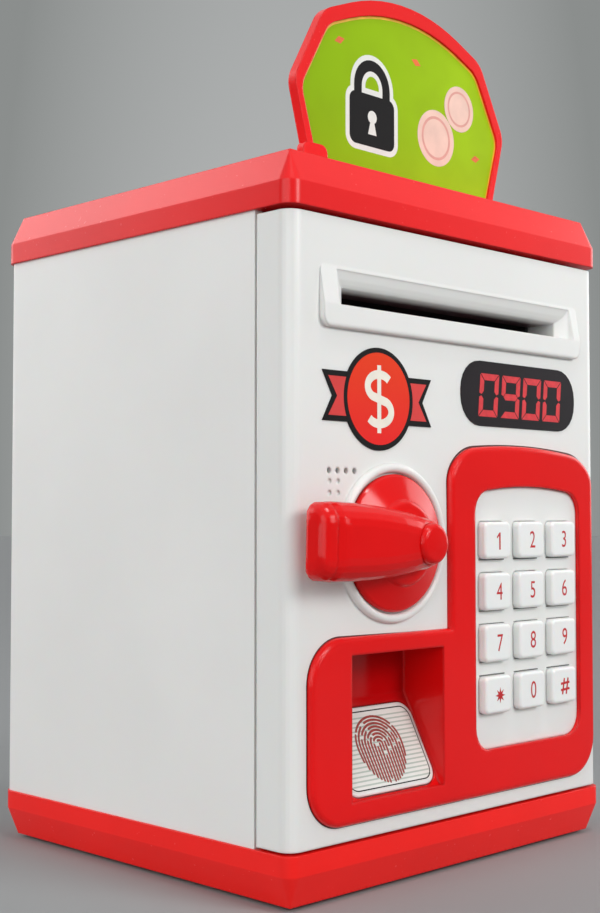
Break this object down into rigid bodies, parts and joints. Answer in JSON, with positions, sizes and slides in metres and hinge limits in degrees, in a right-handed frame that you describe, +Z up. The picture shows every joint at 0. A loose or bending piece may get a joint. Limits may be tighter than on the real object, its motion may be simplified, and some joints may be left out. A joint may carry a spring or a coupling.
{
  "type": "toy cash safe",
  "caption": "Toy cash safe: white cabinet on a red base, red lid with a sign, hinged front door with keys, turning handle, finger pad and bill feed.",
  "frame": {"origin": "on the ground under the middle of the safe, handle included", "axes": "+X to the viewer's right when facing the door, -Y out of the door, +Z up"},
  "size_m": [0.1364, 0.1416, 0.248],
  "materials": {
    "red_plastic": "glossy moulded plastic",
    "white_plastic": "satin moulded plastic",
    "sign_print": "glossy printed card",
    "badge_print": "glossy printed label",
    "strip_print": "glossy printed label",
    "finger_print": "glossy printed label",
    "rubber_foot": "soft rubber",
    "steel": "zinc-plated steel",
    "membrane_rubber": "silicone rubber",
    "board_green": "lacquered circuit board",
    "black_plastic": "matte moulded plastic",
    "cell_jacket": "printed battery jacket",
    "copper_wire": "enamelled winding",
    "gear_nylon": "natural nylon",
    "brass": "turned brass",
    "tyre_rubber": "dark red rubber"
  },
  "bodies": {
    "cabinet": {"base": "red_plastic", "body_shell": "white_plastic", "top_cover": "red_plastic", "sign_board": "red_plastic", "sign_label": "sign_print", "feet": "rubber_foot", "base_screws": "steel", "lid_screws": "steel", "lock_catch": "steel", "hinge_pins": "steel"},
    "door": {"door_shell": "white_plastic", "front_bezel": "red_plastic", "keypad_plate": "white_plastic", "keypad_membrane": "membrane_rubber", "circuit_board": "board_green", "emblem_label": "badge_print", "display_label": "strip_print", "pad_switch": "black_plastic", "back_cover": "white_plastic", "cover_screws": "steel", "battery_cover": "white_plastic", "battery_cells": "cell_jacket", "battery_contacts": "steel", "speaker": "black_plastic", "roller_frame": "black_plastic", "feed_motor": "steel", "gear_pin": "steel", "solenoid_frame": "steel", "solenoid_coil": "copper_wire"},
    "handle": {"handle_disc": "red_plastic", "handle_lever": "red_plastic", "handle_cap": "red_plastic", "handle_shaft": "steel", "latch_cam": "gear_nylon", "latch_tongue": "steel", "shaft_screw": "steel"},
    "finger_button": {"fingerprint_pad": "white_plastic", "fingerprint_label": "finger_print"},
    "plunger": {"lock_plunger": "steel"},
    "drive_roller": {"drive_axle": "steel", "drive_tyres": "tyre_rubber", "roller_gear": "gear_nylon"},
    "idler_roller": {"idler_axle": "steel", "idler_tyres": "tyre_rubber"},
    "reduction_gear": {"double_gear": "gear_nylon"},
    "motor_rotor": {"motor_shaft": "steel", "motor_pinion": "brass"},
    "key_1_button": {"key_1": "white_plastic"},
    "key_2_button": {"key_2": "white_plastic"},
    "key_3_button": {"key_3": "white_plastic"},
    "key_4_button": {"key_4": "white_plastic"},
    "key_5_button": {"key_5": "white_plastic"},
    "key_6_button": {"key_6": "white_plastic"},
    "key_7_button": {"key_7": "white_plastic"},
    "key_8_button": {"key_8": "white_plastic"},
    "key_9_button": {"key_9": "white_plastic"},
    "key_star_button": {"key_star": "white_plastic"},
    "key_0_button": {"key_0": "white_plastic"},
    "key_hash_button": {"key_hash": "white_plastic"}
  },
  "joints": [
    {"name": "door_swing", "type": "hinge", "parent": "cabinet", "child": "door", "pos_m": [0.0618, -0.0484, 0.1], "axis": [0, 0, 1], "range_deg": [0, 110]},
    {"name": "handle_turn", "type": "hinge", "parent": "door", "child": "handle", "pos_m": [-0.0293, -0.0549, 0.0909], "axis": [0, 1, 0], "range_deg": [0, 90]},
    {"name": "finger_press", "type": "slide", "parent": "door", "child": "finger_button", "axis": [0, 0.8846, -0.4664], "range_m": [0, 0.0008], "stiffness_N_per_m": 400},
    {"name": "plunger_slide", "type": "slide", "parent": "door", "child": "plunger", "axis": [-1, 0, 0], "range_m": [0, 0.003], "stiffness_N_per_m": 80},
    {"name": "drive_spin", "type": "hinge", "parent": "door", "child": "drive_roller", "pos_m": [0, -0.0299, 0.16025], "axis": [1, 0, 0], "continuous": true},
    {"name": "idler_spin", "type": "hinge", "parent": "door", "child": "idler_roller", "pos_m": [0, -0.0299, 0.14995], "axis": [1, 0, 0], "continuous": true},
    {"name": "double_gear_spin", "type": "hinge", "parent": "door", "child": "reduction_gear", "pos_m": [0.05, -0.0354, 0.14891], "axis": [1, 0, 0], "continuous": true},
    {"name": "motor_spin", "type": "hinge", "parent": "door", "child": "motor_rotor", "pos_m": [0.05, -0.0334, 0.13465], "axis": [1, 0, 0], "continuous": true},
    {"name": "key_1_press", "type": "slide", "parent": "door", "child": "key_1_button", "axis": [0, 1, 0], "range_m": [0, 0.0012], "stiffness_N_per_m": 300},
    {"name": "key_2_press", "type": "slide", "parent": "door", "child": "key_2_button", "axis": [0, 1, 0], "range_m": [0, 0.0012], "stiffness_N_per_m": 300},
    {"name": "key_3_press", "type": "slide", "parent": "door", "child": "key_3_button", "axis": [0, 1, 0], "range_m": [0, 0.0012], "stiffness_N_per_m": 300},
    {"name": "key_4_press", "type": "slide", "parent": "door", "child": "key_4_button", "axis": [0, 1, 0], "range_m": [0, 0.0012], "stiffness_N_per_m": 300},
    {"name": "key_5_press", "type": "slide", "parent": "door", "child": "key_5_button", "axis": [0, 1, 0], "range_m": [0, 0.0012], "stiffness_N_per_m": 300},
    {"name": "key_6_press", "type": "slide", "parent": "door", "child": "key_6_button", "axis": [0, 1, 0], "range_m": [0, 0.0012], "stiffness_N_per_m": 300},
    {"name": "key_7_press", "type": "slide", "parent": "door", "child": "key_7_button", "axis": [0, 1, 0], "range_m": [0, 0.0012], "stiffness_N_per_m": 300},
    {"name": "key_8_press", "type": "slide", "parent": "door", "child": "key_8_button", "axis": [0, 1, 0], "range_m": [0, 0.0012], "stiffness_N_per_m": 300},
    {"name": "key_9_press", "type": "slide", "parent": "door", "child": "key_9_button", "axis": [0, 1, 0], "range_m": [0, 0.0012], "stiffness_N_per_m": 300},
    {"name": "key_star_press", "type": "slide", "parent": "door", "child": "key_star_button", "axis": [0, 1, 0], "range_m": [0, 0.0012], "stiffness_N_per_m": 300},
    {"name": "key_0_press", "type": "slide", "parent": "door", "child": "key_0_button", "axis": [0, 1, 0], "range_m": [0, 0.0012], "stiffness_N_per_m": 300},
    {"name": "key_hash_press", "type": "slide", "parent": "door", "child": "key_hash_button", "axis": [0, 1, 0], "range_m": [0, 0.0012], "stiffness_N_per_m": 300}
  ],
  "couplings": [
    {"joint": "idler_spin", "follows": "drive_spin", "ratio": -1.2222},
    {"joint": "double_gear_spin", "follows": "drive_spin", "ratio": -2.5},
    {"joint": "motor_spin", "follows": "drive_spin", "ratio": 7.5}
  ]
}
